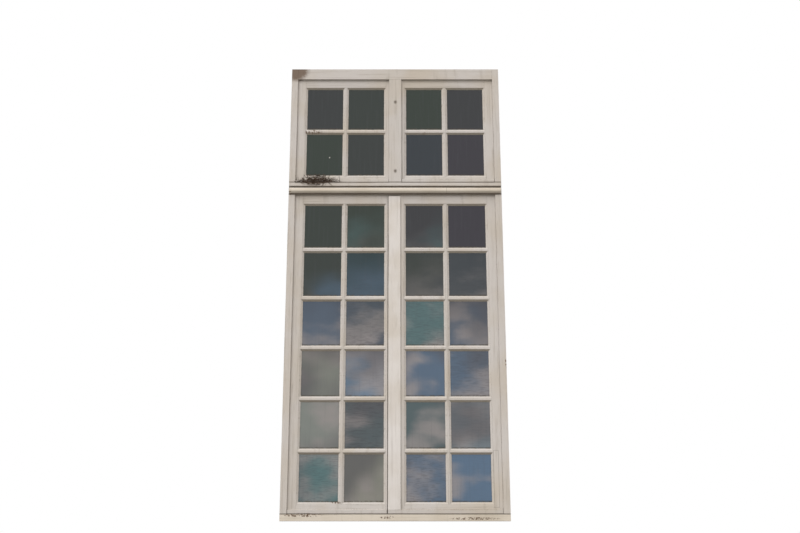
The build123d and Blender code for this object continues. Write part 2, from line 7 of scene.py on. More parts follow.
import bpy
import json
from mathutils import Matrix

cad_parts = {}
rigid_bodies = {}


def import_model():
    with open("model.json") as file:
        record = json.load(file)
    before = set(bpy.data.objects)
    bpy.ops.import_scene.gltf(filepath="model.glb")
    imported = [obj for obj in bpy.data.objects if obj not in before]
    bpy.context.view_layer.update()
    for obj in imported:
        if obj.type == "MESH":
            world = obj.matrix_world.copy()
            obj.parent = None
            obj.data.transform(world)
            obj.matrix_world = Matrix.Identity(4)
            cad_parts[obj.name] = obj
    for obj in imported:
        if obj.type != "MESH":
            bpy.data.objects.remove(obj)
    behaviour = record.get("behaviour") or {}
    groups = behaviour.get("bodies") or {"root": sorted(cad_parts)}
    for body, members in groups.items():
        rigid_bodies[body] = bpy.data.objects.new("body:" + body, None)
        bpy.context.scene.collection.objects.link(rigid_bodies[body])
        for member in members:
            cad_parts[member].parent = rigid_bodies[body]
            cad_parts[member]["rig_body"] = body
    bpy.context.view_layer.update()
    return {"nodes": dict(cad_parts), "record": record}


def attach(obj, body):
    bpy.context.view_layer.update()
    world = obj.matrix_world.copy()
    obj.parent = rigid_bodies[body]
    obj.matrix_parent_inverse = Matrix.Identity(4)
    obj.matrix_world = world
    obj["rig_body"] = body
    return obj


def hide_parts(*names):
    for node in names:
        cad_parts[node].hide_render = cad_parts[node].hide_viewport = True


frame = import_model()
print("nodes", len(frame["nodes"]))

# %% Tools
import json
import math
import random

import bmesh
import bpy
from mathutils import Matrix, Vector, noise

scene = bpy.context.scene
slots = {row["node"]: row["material_slot"] for row in frame["record"]["subparts"]}
bodies = {node: frame["nodes"][node]["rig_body"] for node in slots}
print("material slots", sorted(set(slots.values())))

# %% [markdown]
# ## The camera
# The picture was taken from the ground, looking up, so the uprights lean together towards the top.
# A lens shift would keep them parallel. A real tilt is right here, because the picture has that
# lean: a 45 mm lens on a 36 mm sensor, tilted up by 14.9 degrees, with the eye just under the sill.

# %% The camera
LENS_MM = 45.0
SENSOR_MM = 36.0
TILT_UP = math.radians(14.89)
EYE = (0.0, -8.047, -0.084)
PHOTO_WIDTH_PX = 800
CENTRE_OFFSET_PX = 4.9

camera_data = bpy.data.cameras.new("photo_camera")
camera_data.lens = LENS_MM
camera_data.sensor_width = SENSOR_MM
camera_data.shift_x = CENTRE_OFFSET_PX / PHOTO_WIDTH_PX
camera = bpy.data.objects.new("photo_camera", camera_data)
camera.location = EYE
camera.rotation_euler = (math.pi / 2 + TILT_UP, 0, 0)
scene.collection.objects.link(camera)
scene.camera = camera
scene.view_settings.view_transform = "Standard"
print("camera at", EYE, "with a lens of", LENS_MM, "mm")

# %% [markdown]
# ## Writing shaders as sums
# A node tree can be wired by hand, socket by socket. Here a small class wraps one socket and
# answers to Python's arithmetic, so that `1 - mask * 0.5` adds the Math nodes by itself. A second
# class holds the tree and has one method that adds any other node. Two more build on it: one lays
# out the patterns that every surface of the window is made of, and one is a whole material.

# %% A socket that takes part in sums
class Wire:
    """One output socket, with Python's plus, minus and times."""

    def __init__(self, bench, socket):
        self.bench = bench
        self.socket = socket

    def __add__(self, other):
        return self.bench.math("ADD", self, other)

    def __sub__(self, other):
        return self.bench.math("SUBTRACT", self, other)

    def __rsub__(self, other):
        return self.bench.math("SUBTRACT", other, self)

    def __mul__(self, other):
        return self.bench.math("MULTIPLY", self, other)

    __radd__ = __add__
    __rmul__ = __mul__


print("operators", [name for name in vars(Wire) if name.strip("_") in ("add", "sub", "mul")])

# %% A bench that nodes are laid out on
class Bench:
    """A node tree and the way to add to it."""

    def __init__(self, tree):
        self.tree = tree

    def feed(self, socket, value):
        """Link a wire to a socket, or give the socket a plain value."""
        if isinstance(value, Wire):
            self.tree.links.new(value.socket, socket)
        else:
            socket.default_value = value

    def node(self, kind, settings=None, inputs=None, output=0):
        """Any node, from its type, its settings and the values or wires of its sockets."""
        made = self.tree.nodes.new(kind)
        for key, value in (settings or {}).items():
            if key == "stops":
                ramp = made.color_ramp.elements
                while len(ramp) < len(value):
                    ramp.new(1.0)
                for stop, (place, colour) in zip(ramp, value):
                    stop.position = place
                    stop.color = colour
            else:
                setattr(made, key, value)
        for key, value in (inputs or {}).items():
            self.feed(made.inputs[key], value)
        return Wire(self, made.outputs[output])

    def math(self, operation, *values):
        return self.node("ShaderNodeMath", {"operation": operation}, dict(enumerate(values)))

    def vector(self, operation, *values, output=0):
        return self.node("ShaderNodeVectorMath", {"operation": operation},
                         dict(enumerate(values)), output)

    def split(self, vector):
        """The X, Y and Z of a vector."""
        parts = self.node("ShaderNodeSeparateXYZ", inputs={0: vector})
        return [Wire(self, socket) for socket in parts.socket.node.outputs]


print("a bench adds any node")

# %% Patterns
class Patterns(Bench):
    """The patterns that the window's surfaces are made of."""

    def here(self):
        return self.node("ShaderNodeTexCoord", output="Object")

    def attribute(self, name, output="Fac"):
        return self.node("ShaderNodeAttribute", {"attribute_name": name}, output=output)

    def stretched(self, vector, scale):
        return self.node("ShaderNodeMapping", inputs={"Vector": vector, "Scale": scale})

    def noise(self, vector, scale, detail=2.0, roughness=0.5):
        return self.node("ShaderNodeTexNoise", inputs={"Vector": vector, "Scale": scale,
                                                       "Detail": detail, "Roughness": roughness})

    def step(self, value, start, end):
        """0 at the first value and 1 at the second one, whichever is higher, and soft between."""
        return self.node("ShaderNodeMapRange", {"interpolation_type": "SMOOTHSTEP"},
                         {"Value": value, "From Min": start, "From Max": end})

    def mix(self, factor, first, second):
        return self.node("ShaderNodeMix", {"data_type": "RGBA"}, {0: factor, 6: first, 7: second},
                         output=2)

    def layered(self, ground, layers):
        """A ground colour under layers, the lowest first, each with its share and its colour."""
        colour = ground
        for share, tint in layers:
            colour = self.mix(share, colour, tint)
        return colour

    def spot(self, vector, centre, reach):
        """1 at a place on the window and 0 beyond its reach."""
        away = self.vector("SUBTRACT", vector, centre)
        away = self.vector("MULTIPLY", away, tuple(1.0 / size for size in reach))
        return self.step(self.vector("LENGTH", away, output="Value"), 1.0, 0.2)

    def outline(self, vector, centre, half, line):
        """1 on the outline of an upright rectangle, such as a patch let into a timber."""
        across, _, along = self.split(self.vector("SUBTRACT", vector, centre))
        outside = self.math("MAXIMUM", self.math("ABSOLUTE", across) - half[0],
                            self.math("ABSOLUTE", along) - half[1])
        return self.step(self.math("ABSOLUTE", outside), line, line * 0.4)


print("patterns", [name for name in vars(Patterns) if not name.startswith("_")])

# %% Materials
BUMP_UNIT = 0.001


class Finish(Patterns):
    """A new material with its Principled shader."""

    def __init__(self, name):
        self.material = bpy.data.materials.new(name)
        self.material.use_nodes = True
        super().__init__(self.material.node_tree)
        self.shader = self.tree.nodes["Principled BSDF"]

    def set(self, **sockets):
        for name, value in sockets.items():
            self.feed(self.shader.inputs[name.replace("_", " ")], value)

    def bump(self, height_mm, strength):
        self.set(Normal=self.node("ShaderNodeBump", inputs={
            "Strength": strength, "Distance": BUMP_UNIT, "Height": height_mm}))


print("a height of 1 bumps a surface by", BUMP_UNIT, "m")

# %% [markdown]
# ## Old oil paint
# The timbers carry many coats of off-white oil paint. It has yellowed, weather has opened the
# grain in fine streaks along each timber, and dirt has settled where two pieces meet and on every
# ledge. The same layers also paint shade: darker corners and pockets, dark bands under the ledges
# and darker faces that look down. One function makes all the paints from layers, the lowest first.
# It takes the direction of the grain, so stiles get upright streaks and rails get level ones.
# Ambient occlusion finds the corners, the surface's own direction finds ledges and undersides, and
# spots name the damaged places. An image of such paint would be quicker, but it would show the same
# stain on every timber.

# %% Paint colours and patterns
CREAM = (0.578, 0.545, 0.520, 1.0)
# A lighter cream for the cover strip, a painted highlight for the full light on it
CREAM_LIT = (0.728, 0.694, 0.672, 1.0)
# A paler, yellower cream for the sill and the transom's nosing, with less wear
CREAM_PALER = (0.690, 0.628, 0.545, 1.0)
YELLOWED = (0.500, 0.430, 0.335, 1.0)
# The darkest colour is dirt, and it also paints shade in corners, pockets and dark bands
GRIME_AND_SHADE = (0.105, 0.082, 0.060, 1.0)
DUST = (0.290, 0.250, 0.200, 1.0)
# Painted shade for faces that look down
UNDERSIDE_SHADE = (0.180, 0.153, 0.112, 1.0)
BARE_WOOD = (0.135, 0.088, 0.058, 1.0)

# How a pattern is drawn out along X, Y and Z
GRAIN_UPRIGHT = (1.0, 1.0, 0.035)
GRAIN_LEVEL = (0.035, 1.0, 1.0)
RAIN_RUN = (1.0, 1.0, 0.12)

# How fine each pattern is: its noise scale, detail and roughness
FIBRES = (420.0, 5.0, 0.6)
STREAKS = (55.0, 4.0, 0.55)
CLOUDINESS = (2.3, 3.0)
SPECKLES = (190.0, 3.0, 0.6)
CHIPS = (75.0, 4.0, 0.7)
RUNS = (26.0, 3.0, 0.6)

CORNER_REACH = 0.009
CORNER_SAMPLES = 8
PAINT_ROUGHNESS = 0.48
print("a streak is", round(1 / GRAIN_UPRIGHT[2]), "times as long as it is wide")

# %% Damaged places
# The middle of a place and its reach along X, Y and Z
FLAKED = [
    ((-0.706, -0.014, 3.2525), (0.105, 0.05, 0.030)),
    ((0.249, -0.014, 3.240), (0.022, 0.05, 0.016)),
    ((-0.720, -0.034, 0.046), (0.210, 0.05, 0.020)),
    ((0.899, -0.034, 1.240), (0.014, 0.05, 0.060)),
    ((0.620, -0.034, 0.020), (0.260, 0.05, 0.014)),
    ((-0.060, -0.034, 0.030), (0.080, 0.05, 0.016)),
    ((-0.460, -0.020, 0.140), (0.070, 0.05, 0.012)),
    ((-0.885, -0.034, 2.700), (0.020, 0.05, 0.040)),
]
STAINED = [
    ((-0.870, -0.034, 3.820), (0.170, 0.10, 0.150)),
    ((-0.680, -0.030, 2.788), (0.220, 0.10, 0.020)),
]
# Dark bands of dirt and painted shade in the transom's groove, under its ledges and at the foot,
# along their whole length, and dirt and a painted shadow round the two bolt heads on the mullion,
# each with the share of its darkening
WHOLE_WIDTH = 9.0
SHADE_AND_DIRT_BANDS = [
    ((0.0, -0.024, 2.746), (WHOLE_WIDTH, 0.012, 0.0105), 0.85),
    ((0.0, -0.034, 2.681), (WHOLE_WIDTH, 0.040, 0.0095), 1.05),
    ((0.0, -0.024, 0.0545), (WHOLE_WIDTH, 0.040, 0.0065), 1.05),
    ((0.0, -0.022, 2.7885), (WHOLE_WIDTH, 0.030, 0.0085), 1.00),
    ((0.002, -0.034, 2.888), (0.020, 0.020, 0.026), 0.75),
    ((0.002, -0.034, 3.522), (0.020, 0.020, 0.026), 0.75),
]
# Joint lines of repairs: the middle, the half sizes along X and Z, and the width of the line
PATCH = ((0.798, -0.016, 0.325), (0.019, 0.220), 0.0016)
SCARF = ((0.435, -0.05, 2.709), (0.0004, 0.030), 0.0012)
print("places", len(FLAKED), "flaked", len(STAINED), "stained", len(SHADE_AND_DIRT_BANDS), "dirty")

# %% The paint
def paint(name, grain, body=CREAM, wear=1.0):
    """Aged oil paint whose streaks follow the grain, with dirt and painted shade in its corners and
    on its undersides.
    """
    finish = Finish(name)
    here = finish.here()
    along = finish.stretched(here, grain)
    fibres = finish.noise(along, *FIBRES)
    streaks = finish.noise(along, *STREAKS)
    clouds = finish.noise(here, *CLOUDINESS)
    speckle = finish.noise(here, *SPECKLES)
    chips = finish.noise(here, *CHIPS)
    runs = finish.noise(finish.stretched(here, RAIN_RUN), *RUNS)

    # Dirt and painted shade in corners and deep pockets, where ambient occlusion finds little open
    # sky
    open_sky = finish.node("ShaderNodeAmbientOcclusion", {"samples": CORNER_SAMPLES},
                           {"Distance": CORNER_REACH}, output="AO")
    corner_dirt_and_shade = finish.step(open_sky, 0.82, 0.30) * finish.step(speckle + streaks, 0.62, 1.15)
    pocket_dirt_and_shade = finish.step(open_sky, 0.54, 0.32) * (0.35 + speckle)
    facing = finish.split(finish.node("ShaderNodeNewGeometry", output="Normal"))[2]
    upward = finish.step(facing, 0.55, 0.95) * finish.step(clouds + speckle, 0.65, 1.25)
    # Painted shade on faces that look down, darker where speckled
    downward_shade = finish.step(facing, -0.15, -0.50) * (0.50 + speckle * 0.6)

    seams = finish.outline(here, *PATCH) + finish.outline(here, *SCARF)
    stain = finish.spot(here, *STAINED[0]) + finish.spot(here, *STAINED[1])
    stain = finish.step(stain * (chips + speckle), 0.12, 0.75)
    damage = finish.attribute("arris") * finish.step(speckle + streaks, 1.02, 1.18) * (0.8 * wear)
    for centre, reach in FLAKED:
        damage = damage + finish.spot(here, centre, reach) * finish.step(chips, 0.50, 0.56) * 1.6
    damage = finish.step(damage, 0.15, 0.75)

    layers = [
        (finish.step(clouds, 0.38, 0.72) * 0.55, YELLOWED),
        (finish.step(runs, 0.55, 0.78) * (0.35 * wear), DUST),
        (finish.step(streaks, 0.52, 0.74) * (0.34 * wear), DUST),
        (finish.step(fibres, 0.58, 0.76) * (0.40 * wear), GRIME_AND_SHADE),
        # Dirt and painted shade in the corners and pockets
        (corner_dirt_and_shade * 0.50, GRIME_AND_SHADE),
        (pocket_dirt_and_shade, GRIME_AND_SHADE),
        (upward * 0.7, DUST),
        # Painted shade on the undersides
        (downward_shade * wear, UNDERSIDE_SHADE),
    ]
    # Dirt and painted shade along the ledges and the foot, and dirt and painted shadow round the
    # bolt heads
    for centre, reach, share in SHADE_AND_DIRT_BANDS:
        layers.append((finish.spot(here, centre, reach) * (0.45 + speckle) * share, GRIME_AND_SHADE))
    layers += [(seams * 0.65, GRIME_AND_SHADE), (stain * 0.9, BARE_WOOD), (damage, BARE_WOOD)]

    finish.set(Base_Color=finish.layered(body, layers),
               Roughness=PAINT_ROUGHNESS + streaks * 0.25 + damage * 0.3)
    raised = fibres * 0.22 + streaks * 0.45 + speckle * 0.15
    finish.bump(raised - damage * 0.6 - seams * 0.4, 0.6)
    return finish.material


paints = {
    "upright": paint("oil_paint_upright", GRAIN_UPRIGHT),
    "level": paint("oil_paint_level", GRAIN_LEVEL),
    # The cover strip gets the lighter cream, a painted highlight, and less wear
    "strip": paint("oil_paint_strip", GRAIN_UPRIGHT, CREAM_LIT, wear=0.7),
    "washed": paint("rain_washed_paint", GRAIN_LEVEL, CREAM_PALER, wear=0.5),
}
print("paints", [material.name for material in paints.values()])

# %% [markdown]
# ## Iron and brass
# The bolts and turn buttons inside are black iron, rubbed brighter on the edges that hands touch,
# and these brighter edges are also a painted highlight.
# The hinges and the two bolt heads outside were painted over with the woodwork. Each metal is one
# colour with a second one showing through in patches. A mask from the bevels' attribute puts more
# of it on the edges, which a plain noise couldn't find.

# %% Iron and brass
BLACK = (0.042, 0.040, 0.038, 1.0)
RUBBED_AND_HIGHLIGHT = (0.180, 0.165, 0.150, 1.0)
DULL_BRASS = (0.430, 0.290, 0.110, 1.0)
TARNISH = (0.160, 0.110, 0.055, 1.0)
METAL_ROUGHNESS = 0.35
PATCHES = (60.0, 5.0, 0.6)
GRIT = (700.0, 3.0, 0.6)


def metal(name, body, wear_and_highlight, metallic, share):
    """A metal whose edges and patches show a second colour."""
    finish = Finish(name)
    here = finish.here()
    patches = finish.noise(here, *PATCHES)
    grit = finish.noise(here, *GRIT)
    edges = finish.attribute("arris")
    showing = finish.step(patches + edges * 0.30, 0.70 - share, 0.88 - share)
    finish.set(Base_Color=finish.mix(showing, body, wear_and_highlight), Metallic=metallic,
               Roughness=METAL_ROUGHNESS + grit * 0.25)
    finish.bump(grit * 0.10 + patches * 0.15, 0.5)
    return finish.material


metals = {
    # On the black iron the lighter edges are wear and also a painted highlight
    "blackened_iron": metal("blackened_iron", BLACK, RUBBED_AND_HIGHLIGHT, metallic=0.85, share=0.0),
    "brass": metal("dull_brass", DULL_BRASS, TARNISH, metallic=1.0, share=0.15),
    "painted_iron": paint("paint_on_iron", GRAIN_UPRIGHT, wear=0.6),
}
print("metals", sorted(metals))

# %% [markdown]
# ## Rounded arrises
# A real timber has no knife edges: each arris is eased by a plane and filled by paint. The CAD
# nodes arrive as loose triangles, so a copy is welded and its flat triangles are merged, and then
# bevelled along every sharp edge. A Bevel modifier would do the same, but the operator says which
# faces are new, and they are marked, so that the paint can wear there. The rack teeth and the
# pinion stay sharp, because a rounded root would fill the room that their mesh needs.

# %% Easing the CAD pieces
WELD = 2e-6
FLAT = math.radians(0.5)
SHARP = math.radians(38)
SHORTEST_IN_WIDTHS = 3


def loose_copy(node):
    """A welded copy of a CAD node's mesh, with its flat triangles merged."""
    mesh = bmesh.new()
    mesh.from_mesh(frame["nodes"][node].data)
    bmesh.ops.remove_doubles(mesh, verts=mesh.verts, dist=WELD)
    bmesh.ops.dissolve_limit(mesh, angle_limit=FLAT, verts=mesh.verts, edges=mesh.edges)
    return mesh


def ease(mesh, width):
    """Bevel the sharp edges and mark the new faces."""
    mark = mesh.faces.layers.float.new("arris")
    arrises = [edge for edge in mesh.edges if edge.is_manifold and edge.calc_face_angle() > SHARP
               and edge.calc_length() > SHORTEST_IN_WIDTHS * width]
    made = bmesh.ops.bevel(mesh, geom=arrises, offset=width, segments=2, profile=0.5,
                           affect="EDGES", clamp_overlap=False, material=-1)
    for face in made["faces"]:
        face[mark] = 1.0


print("edges over", round(math.degrees(SHARP)), "degrees are eased")

# %% Finished pieces
def finished(name, mesh, body, material, replaced=()):
    """Turn a bmesh into a piece that rides on its body."""
    data = bpy.data.meshes.new(name)
    mesh.to_mesh(data)
    mesh.free()
    piece = bpy.data.objects.new(name, data)
    scene.collection.objects.link(piece)
    data.materials.append(material)
    data.shade_smooth()
    data.set_sharp_from_angle(angle=SHARP)
    weights = piece.modifiers.new("flat_faces", "WEIGHTED_NORMAL")
    weights.keep_sharp = True
    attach(piece, body)
    if replaced:
        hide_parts(*replaced)
    return piece


def dressed(node, ending, mesh, material):
    """A mesh that takes a CAD node's place on its body."""
    return finished(node + ending, mesh, bodies[node], material, [node])


def eased(node, material, width):
    """A CAD node with rounded arrises."""
    mesh = loose_copy(node)
    ease(mesh, width)
    return dressed(node, "_eased", mesh, material)


# %% The timbers, hinges and bolts
TIMBER_ARRIS = 0.0010
IRON_ARRIS = 0.0006
UPRIGHTS = ("jamb", "stile", "mullion", "vertical_bar")
GLAZING = ("_panes", "_putty")
TOOTHED = ("bolt_pinion", "top_bolt_rod", "bottom_bolt_rod")
PAINTED_ALONE = {"meeting_cover_strip": "strip", "sill": "washed", "transom_nosing": "washed"}

for node, slot_name in slots.items():
    if node.endswith(GLAZING):
        continue
    if node in TOOTHED:
        dressed(node, "_smooth", loose_copy(node), metals[slot_name])
    elif slot_name == "painted_timber":
        grain = "upright" if any(word in node for word in UPRIGHTS) else "level"
        eased(node, paints[PAINTED_ALONE.get(node, grain)], TIMBER_ARRIS)
    else:
        eased(node, metals[slot_name], IRON_ARRIS)

# %% [markdown]
# ## Putty
# The glazier pressed a bead of linseed putty between glass and wood and drew a knife along it at a
# slant. Painting over it left a slightly ragged line on the glass. The CAD beds are straight, and
# they have too few points to be made ragged. So each bead starts anew as one rectangle of edges,
# which is cut finely and extruded inwards ring by ring, and a noise pushes its inner rings about.

# %% The solids of a mesh
def box_of(verts):
    """Lowest and highest corner of some vertices."""
    corners = [[pick(vert.co[axis] for vert in verts) for axis in range(3)] for pick in (min, max)]
    return Vector(corners[0]), Vector(corners[1])


def islands(mesh):
    """The separate solids of a mesh as lists of vertices, from the bottom up and left to right."""
    groups = []
    seen = set()
    for start in mesh.verts:
        if start in seen:
            continue
        seen.add(start)
        found = [start]
        for vert in found:
            near = [edge.other_vert(vert) for edge in vert.link_edges]
            fresh = [other for other in near if other not in seen]
            seen.update(fresh)
            found += fresh
        groups.append(found)
    return sorted(groups, key=lambda verts: [round(box_of(verts)[0][axis], 3)
                                             for axis in (2, 0, 1)])


def parts_of(node):
    """The boxes of a CAD node's solids."""
    source = loose_copy(node)
    boxes = [box_of(verts) for verts in islands(source)]
    source.free()
    return boxes


print("panes in the left leaf", len(parts_of("left_leaf_panes")))

# %% Rings of edges
EDGE_CUTS = 44
LONG_WAVES = 150.0
SHORT_WAVES = 420.0
MEAN_PUSH = 0.35


def ring(mesh, edges, middle, old_half, new_half, depth):
    """Extrude a rectangle of edges to another size, and move it in depth."""
    made = bmesh.ops.extrude_edge_only(mesh, edges=edges)["geom"]
    verts = [item for item in made if isinstance(item, bmesh.types.BMVert)]
    scale = (new_half[0] / old_half[0], 1.0, new_half[1] / old_half[1])
    bmesh.ops.scale(mesh, vec=scale, verts=verts, space=Matrix.Translation(-middle))
    bmesh.ops.translate(mesh, vec=(0.0, depth, 0.0), verts=verts)
    return verts, [item for item in made if isinstance(item, bmesh.types.BMEdge)]


def rough(verts, middle, amount):
    """Push vertices about in the plane of the glass."""
    for vert in verts:
        inwards = Vector((middle.x - vert.co.x, 0.0, middle.z - vert.co.z)).normalized()
        wave = noise.noise(vert.co * LONG_WAVES) + 0.5 * noise.noise(vert.co * SHORT_WAVES)
        vert.co += inwards * amount * (wave + MEAN_PUSH)


def rectangle(mesh, middle, half, depth):
    """A closed line of many short edges in the plane of the window."""
    start = bmesh.ops.create_circle(mesh, cap_ends=False, radius=math.sqrt(2), segments=4)["verts"]
    upright = Matrix.Rotation(math.pi / 2, 3, "X") @ Matrix.Rotation(math.pi / 4, 3, "Z")
    bmesh.ops.rotate(mesh, cent=(0, 0, 0), matrix=upright, verts=start)
    bmesh.ops.scale(mesh, vec=(half[0], 1.0, half[1]), verts=start)
    bmesh.ops.translate(mesh, vec=(middle.x, depth, middle.z), verts=start)
    edges = list({edge for vert in start for edge in vert.link_edges})
    cut = bmesh.ops.subdivide_edges(mesh, edges=edges, cuts=EDGE_CUTS)
    return list({item for item in cut["geom_inner"] + cut["geom_split"]
                 if isinstance(item, bmesh.types.BMEdge)})


print("edges of a ring", 4 * (EDGE_CUTS + 1))

# %% One bead
RAGGED = 0.0013
RAGGED_FRONT = RAGGED * 0.35
# The flat strip beside the wood, the thin edge on the glass, and the width of a bead to its height
LAND = 0.001
LAP = 0.0004
SLANT = 16.0 / 9.5


def bead(mesh, low, high):
    """One bead of putty round one pane, from the wood's face down to the glass."""
    middle = (low + high) / 2
    rise = high.y - low.y
    outer = ((high.x - low.x) / 2, (high.z - low.z) / 2)
    inner = tuple(size - rise * SLANT for size in outer)
    front = tuple(size - LAND for size in outer)
    first = rectangle(mesh, middle, outer, low.y)
    flat = Vector((middle.x, 0.0, middle.z))
    front_verts, second = ring(mesh, first, flat, outer, front, 0.0)
    glass_verts, third = ring(mesh, second, flat, front, inner, rise - LAP)
    _, fourth = ring(mesh, third, flat, inner, outer, LAP)
    bmesh.ops.bridge_loops(mesh, edges=first + fourth)
    rough(front_verts, middle, RAGGED_FRONT)
    rough(glass_verts, middle, RAGGED)


print("a bead slopes by", round(math.degrees(math.atan(1 / SLANT))), "degrees")

# %% Putty beads
for node in [name for name in slots if name.endswith("_putty")]:
    beads = bmesh.new()
    for low, high in parts_of(node):
        bead(beads, low, high)
    bmesh.ops.recalc_face_normals(beads, faces=beads.faces)
    piece = dressed(node, "_beads", beads, paints["level"])
    print(piece.name, "faces", len(piece.data.polygons))

# %% [markdown]
# ## Old glass
# Old window glass was drawn by hand: each pane has its own tint and bows a little, so each one
# mirrors another piece of a dull sky. Behind it lies a dark room. A real mirror image would need
# the surroundings to be built, and it would change with every camera. So the sky's reflection is
# painted on the outer face as clouds, over a dark colour that is painted shade of the unlit room
# behind the glass, and from the room a pane is plain and dark. Every pane gets two random numbers
# as attributes. The shader picks a tint and shifts its soft clouds by them. Two more attributes
# hold the pane's corners, which tell how near the putty is: rain leaves dirt there, most at the
# foot.

# %% Colours of the glass
# Dark tints of the glass over painted shade of the unlit room behind it
SLATE = (0.024, 0.025, 0.030, 1.0)
BOTTLE = (0.018, 0.029, 0.021, 1.0)
VIOLET = (0.026, 0.023, 0.034, 1.0)
TEAL = (0.010, 0.030, 0.036, 1.0)
# Colours of the painted reflection of the sky and its clouds
SKY_TEAL = (0.078, 0.175, 0.185, 1.0)
SKY_GREY = (0.060, 0.062, 0.072, 1.0)
SKY_BLUE = (0.095, 0.185, 0.310, 1.0)
SKY_OLIVE = (0.215, 0.208, 0.145, 1.0)
CLOUD = (0.285, 0.258, 0.255, 1.0)
RAIN_CLOUD = (0.070, 0.068, 0.078, 1.0)
DROPPING = (0.75, 0.74, 0.70, 1.0)
GLASS_DIRT = (0.052, 0.041, 0.025, 1.0)
ROOM_SHADE_TINTS = [(0.1, BOTTLE), (0.4, SLATE), (0.56, VIOLET), (0.76, TEAL)]
SKY_REFLECTION_TINTS = [(0.0, SKY_TEAL), (0.35, SKY_GREY), (0.7, SKY_BLUE), (1.0, SKY_OLIVE)]
print("tints", len(ROOM_SHADE_TINTS), "dark", len(SKY_REFLECTION_TINTS), "pale")

# %% Dirt beside the putty
# How much of a pane's edge the putty covers, and how far the dirt reaches beyond it
COVERED = 0.013
FOOT_DIRT = 0.016
SIDE_DIRT = 0.009
DIRT_SPOTS = (60.0, 4.0, 0.6)


def edge_dirt(finish, here):
    """Dirt that gathers on a pane above the putty at its foot, and a little along its sides."""
    low = finish.attribute("pane_low", "Vector")
    high = finish.attribute("pane_high", "Vector")
    left, _, foot = finish.split(finish.vector("SUBTRACT", here, low))
    right = finish.split(finish.vector("SUBTRACT", high, here))[0]
    side = finish.math("MINIMUM", left, right)
    lying = finish.step(foot, COVERED + FOOT_DIRT, COVERED + FOOT_DIRT * 0.3)
    clinging = finish.step(side, COVERED + SIDE_DIRT, COVERED)
    spotted = finish.step(finish.noise(here, *DIRT_SPOTS), 0.32, 0.58)
    return (lying * 0.85 + clinging * 0.4) * spotted


print("dirt reaches", FOOT_DIRT * 1000, "mm up a pane")

# %% Patterns of the glass
# The heights between which the panes turn from dark to light
DARK_ABOVE = 2.20
LIGHT_BELOW = 1.35
# Metres that a pane's random numbers move its clouds along X, Y and Z
CLOUD_SHIFT = (31.0, 17.0, 7.0)
# How a pattern is drawn out along X, Y and Z
LYING_CLOUDS = (1.0, 1.0, 1.4)
LYING_WISPS = (1.0, 1.0, 1.8)
DOWN_THE_PANE = (1.0, 1.0, 0.05)
ACROSS_THE_PANE = (0.30, 1.0, 2.0)
# How fine each pattern is: its noise scale, detail and roughness
SOFT_CLOUDS = (2.2, 2.0, 0.4)
WISPS = (4.6, 3.0, 0.45)
DRAWN_LINES = (60.0, 2.0)
RIPPLES = (62.0, 2.0)
RAIN_CLOUDS = (1.3, 2.0)
SPECK = ((-0.561, -0.004, 3.02), (0.0055, 0.02, 0.0075))
OUTER_FACE = -0.003
ROOM_FACE = -0.001
GLASS_ROUGHNESS = 0.05
print("panes are dark above", DARK_ABOVE, "m and light below", LIGHT_BELOW, "m")

# %% The glass
def old_glass():
    """Glass over painted shade of a dark room, with a painted reflection of soft clouds in its
    lower half.
    """
    finish = Finish("old_glass")
    here = finish.here()
    _, depth, height = finish.split(here)
    pane = finish.attribute("pane")
    other = finish.attribute("pane_tint")
    shift = finish.node("ShaderNodeCombineXYZ", inputs={
        0: pane * CLOUD_SHIFT[0], 1: other * CLOUD_SHIFT[1], 2: pane * CLOUD_SHIFT[2]})
    moved = finish.vector("ADD", here, shift)
    clouds = finish.noise(finish.stretched(moved, LYING_CLOUDS), *SOFT_CLOUDS)
    wisps = finish.noise(finish.stretched(moved, LYING_WISPS), *WISPS)
    drawn = finish.noise(finish.stretched(moved, DOWN_THE_PANE), *DRAWN_LINES)
    ripple = finish.noise(finish.stretched(moved, ACROSS_THE_PANE), *RIPPLES)
    uneven = finish.step(other, 0.45, 0.70)

    dark = finish.node("ShaderNodeValToRGB", {"stops": ROOM_SHADE_TINTS}, {0: other})
    pale = finish.node("ShaderNodeValToRGB", {"stops": SKY_REFLECTION_TINTS}, {0: pane})
    level = height + (clouds - 0.5) * 0.9 + (pane - 0.5) * 0.8
    daylight = finish.step(level, DARK_ABOVE, LIGHT_BELOW)
    cloudy = finish.step(clouds + (wisps - 0.5) * 0.35, 0.45, 0.68)
    rain_cloud = finish.step(finish.noise(moved, *RAIN_CLOUDS), 0.48, 0.66)
    sky = finish.mix(cloudy * 0.75, pale, CLOUD)
    sky = finish.mix(rain_cloud * 0.75, sky, RAIN_CLOUD)
    dirt = edge_dirt(finish, here)

    layers = [
        (daylight, sky),
        (finish.step(drawn, 0.50, 0.72) * 0.10, SKY_GREY),
        (finish.step(ripple, 0.46, 0.66) * daylight * uneven * 0.26, SLATE),
        (finish.spot(here, *SPECK), DROPPING),
        (dirt, GLASS_DIRT),
        (finish.step(depth, OUTER_FACE, ROOM_FACE) * 0.85, dark),
    ]
    finish.set(Base_Color=finish.layered(dark, layers),
               Roughness=GLASS_ROUGHNESS + wisps * 0.08 + dirt * 0.5)
    finish.bump(drawn * 0.10 + ripple * 0.15 + clouds * 0.8, 0.12)
    return finish.material


glass = old_glass()
print("nodes in the glass", len(glass.node_tree.nodes))

# %% Panes
PANE_SEED = 1469152

